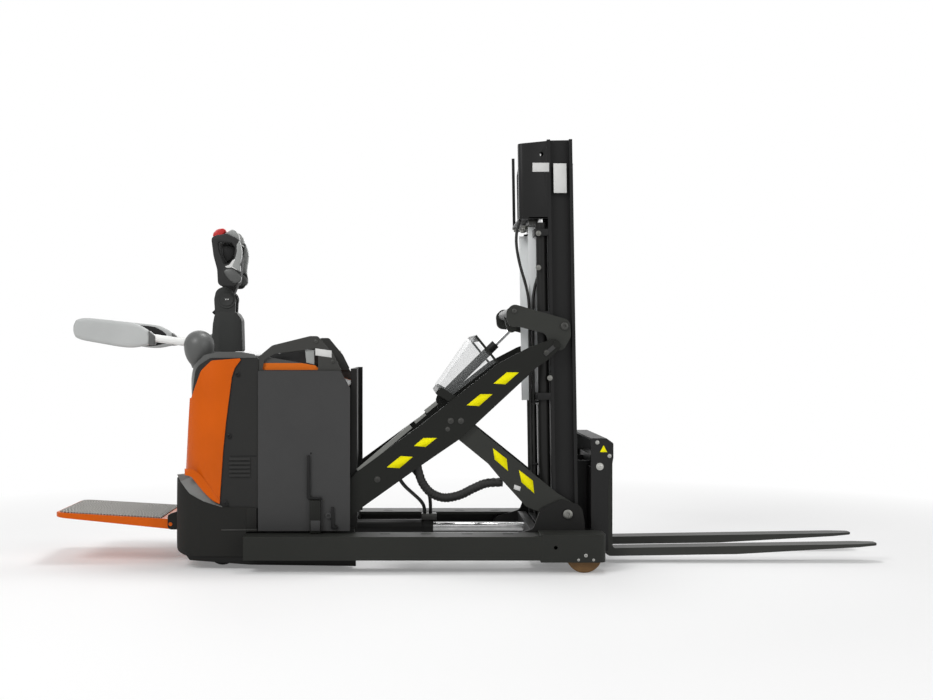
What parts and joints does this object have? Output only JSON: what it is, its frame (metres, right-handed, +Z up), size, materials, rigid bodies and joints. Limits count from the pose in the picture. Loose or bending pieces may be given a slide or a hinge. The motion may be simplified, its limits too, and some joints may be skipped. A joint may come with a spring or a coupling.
{
  "type": "electric pallet stacker",
  "caption": "Stand-on electric pallet stacker with straddle legs, folding platform and gates, and a lifting mast pushed forward by a scissor-like reach linkage.",
  "frame": {"origin": "on the floor under the middle of the whole machine", "axes": "+X towards the fork tips, +Y to the machine's left, +Z up"},
  "size_m": [3.573, 1.026, 1.8227],
  "materials": {
    "battery_case": "moulded battery case",
    "black_paint": "satin black paint",
    "cap_grey": "moulded mid-grey plastic",
    "chrome_rod": "hard chrome",
    "gate_white": "white powder coat",
    "guard_clear": "clear polycarbonate",
    "hose_black": "corrugated black conduit",
    "leg_paint": "satin dark grey paint",
    "mat_grey": "ribbed grey rubber",
    "orange_paint": "gloss orange paint",
    "pad_grey": "soft light grey moulding",
    "panel_grey": "fine-texture dark grey paint",
    "rail_steel": "satin black rail",
    "tiller_grey": "moulded dark plastic",
    "wheel_black": "black rubber tread",
    "wheel_pu": "brown polyurethane tread",
    "zinc_steel": "zinc-plated steel"
  },
  "bodies": {
    "chassis": {"leg_left": "leg_paint", "leg_right": "leg_paint", "frame": "black_paint", "battery": "battery_case", "battery_sides": "panel_grey", "guard_plates": "panel_grey", "battery_hood": "orange_paint", "hood_lid": "cap_grey", "tractor_core": "panel_grey", "orange_panels": "orange_paint", "top_cap": "cap_grey", "skirt": "panel_grey", "gate_housings": "cap_grey", "reach_barrel": "black_paint"},
    "load_wheel_left": {"load_wheel_left": "wheel_pu"},
    "load_wheel_right": {"load_wheel_right": "wheel_pu"},
    "drive_unit": {"drive_unit": "zinc_steel"},
    "drive_wheel": {"drive_wheel": "wheel_black"},
    "caster_left": {"caster_fork_left": "zinc_steel"},
    "caster_right": {"caster_fork_right": "zinc_steel"},
    "caster_wheel_left": {"caster_wheel_left": "wheel_black"},
    "caster_wheel_right": {"caster_wheel_right": "wheel_black"},
    "tiller_column": {"tiller_column": "cap_grey"},
    "tiller_head": {"tiller_head": "tiller_grey"},
    "platform": {"platform": "orange_paint", "platform_mat": "mat_grey"},
    "gate_left": {"gate_left": "gate_white", "gate_pad_left": "pad_grey"},
    "gate_right": {"gate_right": "gate_white", "gate_pad_right": "pad_grey"},
    "long_arm": {"long_arm_left": "black_paint", "long_arm_right": "black_paint", "long_arm_tubes": "black_paint", "arm_guard_frame": "black_paint", "arm_guard_panel": "guard_clear", "hose_conduit": "hose_black"},
    "tilt_barrel": {"tilt_barrel": "black_paint"},
    "tilt_rod": {"tilt_rod": "chrome_rod"},
    "tilt_crank": {"tilt_crank": "black_paint"},
    "short_arm": {"short_arm_left": "black_paint", "short_arm_right": "black_paint", "short_arm_tube": "black_paint"},
    "mast_foot": {"mast_foot": "black_paint", "reach_rod": "chrome_rod"},
    "mast_outer": {"outer_rail_left": "rail_steel", "outer_rail_right": "rail_steel", "mast_crossbeam": "black_paint", "mast_ties": "black_paint", "lift_cylinders": "black_paint", "mast_guard": "guard_clear"},
    "mast_inner": {"inner_rail_left": "rail_steel", "inner_rail_right": "rail_steel", "inner_ties": "rail_steel", "lift_rods": "chrome_rod", "lift_chains": "zinc_steel"},
    "carriage": {"carriage": "black_paint", "fork_left": "black_paint", "fork_right": "black_paint"}
  },
  "joints": [
    {"name": "load_wheel_left_spin", "type": "hinge", "parent": "chassis", "child": "load_wheel_left", "pos_m": [0.4725, 0.437, 0.075], "axis": [0, 1, 0], "continuous": true},
    {"name": "load_wheel_right_spin", "type": "hinge", "parent": "chassis", "child": "load_wheel_right", "pos_m": [0.4725, -0.437, 0.075], "axis": [0, 1, 0], "continuous": true},
    {"name": "tiller_steer", "type": "hinge", "parent": "chassis", "child": "tiller_column", "pos_m": [-1.0695, 0, 0.89], "axis": [0, 0, 1], "range_deg": [-90, 90]},
    {"name": "drive_steer", "type": "hinge", "parent": "chassis", "child": "drive_unit", "pos_m": [-1.0695, 0, 0.245], "axis": [0, 0, 1], "range_deg": [-90, 90]},
    {"name": "drive_wheel_spin", "type": "hinge", "parent": "drive_unit", "child": "drive_wheel", "pos_m": [-1.0695, 0, 0.115], "axis": [0, 1, 0], "continuous": true},
    {"name": "caster_left_swivel", "type": "hinge", "parent": "chassis", "child": "caster_left", "pos_m": [-1.0945, 0.25, 0.245], "axis": [0, 0, 1], "continuous": true},
    {"name": "caster_right_swivel", "type": "hinge", "parent": "chassis", "child": "caster_right", "pos_m": [-1.0945, -0.25, 0.245], "axis": [0, 0, 1], "continuous": true},
    {"name": "caster_left_spin", "type": "hinge", "parent": "caster_left", "child": "caster_wheel_left", "pos_m": [-1.0545, 0.25, 0.0625], "axis": [0, 1, 0], "continuous": true},
    {"name": "caster_right_spin", "type": "hinge", "parent": "caster_right", "child": "caster_wheel_right", "pos_m": [-1.0545, -0.25, 0.0625], "axis": [0, 1, 0], "continuous": true},
    {"name": "tiller_tilt", "type": "hinge", "parent": "tiller_column", "child": "tiller_head", "pos_m": [-1.0755, 0, 1.154], "axis": [0, -1, 0], "range_deg": [0, 70], "stiffness_Nm_per_rad": 8, "springref_deg": -40.11},
    {"name": "platform_fold", "type": "hinge", "parent": "chassis", "child": "platform", "pos_m": [-1.2815, 0, 0.173], "axis": [0, 1, 0], "range_deg": [0, 85]},
    {"name": "gate_left_fold", "type": "hinge", "parent": "chassis", "child": "gate_left", "pos_m": [-1.1555, 0.28, 0.948], "axis": [0, -1, 0], "range_deg": [0, 60]},
    {"name": "gate_right_fold", "type": "hinge", "parent": "chassis", "child": "gate_right", "pos_m": [-1.1555, -0.28, 0.948], "axis": [0, -1, 0], "range_deg": [0, 60]},
    {"name": "arm_raise", "type": "hinge", "parent": "chassis", "child": "long_arm", "pos_m": [-0.5505, 0, 0.229], "axis": [0, -1, 0], "range_deg": [0, 24]},
    {"name": "short_arm_fold", "type": "hinge", "parent": "long_arm", "child": "short_arm", "pos_m": [-0.06867, 0, 0.61918], "axis": [0, -1, 0], "range_deg": [-48, 0], "deforming": ["hose_conduit"]},
    {"name": "foot_level", "type": "hinge", "parent": "short_arm", "child": "mast_foot", "pos_m": [0.41316, 0, 0.229], "axis": [0, -1, 0], "range_deg": [0, 24]},
    {"name": "mast_tilt", "type": "hinge", "parent": "mast_foot", "child": "mast_outer", "pos_m": [0.41316, 0, 0.229], "axis": [0, 1, 0], "range_deg": [-1, 2]},
    {"name": "crank_turn", "type": "hinge", "parent": "long_arm", "child": "tilt_crank", "pos_m": [0.37196, 0, 0.94678], "axis": [0, 1, 0], "range_deg": [-12, 24]},
    {"name": "tilt_barrel_swing", "type": "hinge", "parent": "long_arm", "child": "tilt_barrel", "pos_m": [-0.1098, 0, 0.70811], "axis": [0, -1, 0], "range_deg": [-1, 2]},
    {"name": "tilt_rod_slide", "type": "slide", "parent": "tilt_barrel", "child": "tilt_rod", "axis": [0.7108, 0, 0.7034], "range_m": [-0.0365, 0.0725]},
    {"name": "inner_lift", "type": "slide", "parent": "mast_outer", "child": "mast_inner", "axis": [-0.0157, 0, 0.9999], "range_m": [0, 1.24]},
    {"name": "carriage_lift", "type": "slide", "parent": "mast_inner", "child": "carriage", "axis": [-0.0157, 0, 0.9999], "range_m": [0, 1.24], "deforming": ["lift_chains"]}
  ],
  "couplings": [
    {"joint": "drive_steer", "follows": "tiller_steer", "ratio": 1},
    {"joint": "short_arm_fold", "follows": "arm_raise", "ratio": -2},
    {"joint": "foot_level", "follows": "arm_raise", "ratio": 1},
    {"joint": "crank_turn", "follows": "mast_tilt", "ratio": 12},
    {"joint": "tilt_barrel_swing", "follows": "mast_tilt", "ratio": 1},
    {"joint": "tilt_rod_slide", "follows": "mast_tilt", "m_per_rad": 2.063},
    {"joint": "carriage_lift", "follows": "inner_lift", "ratio": 1}
  ]
}
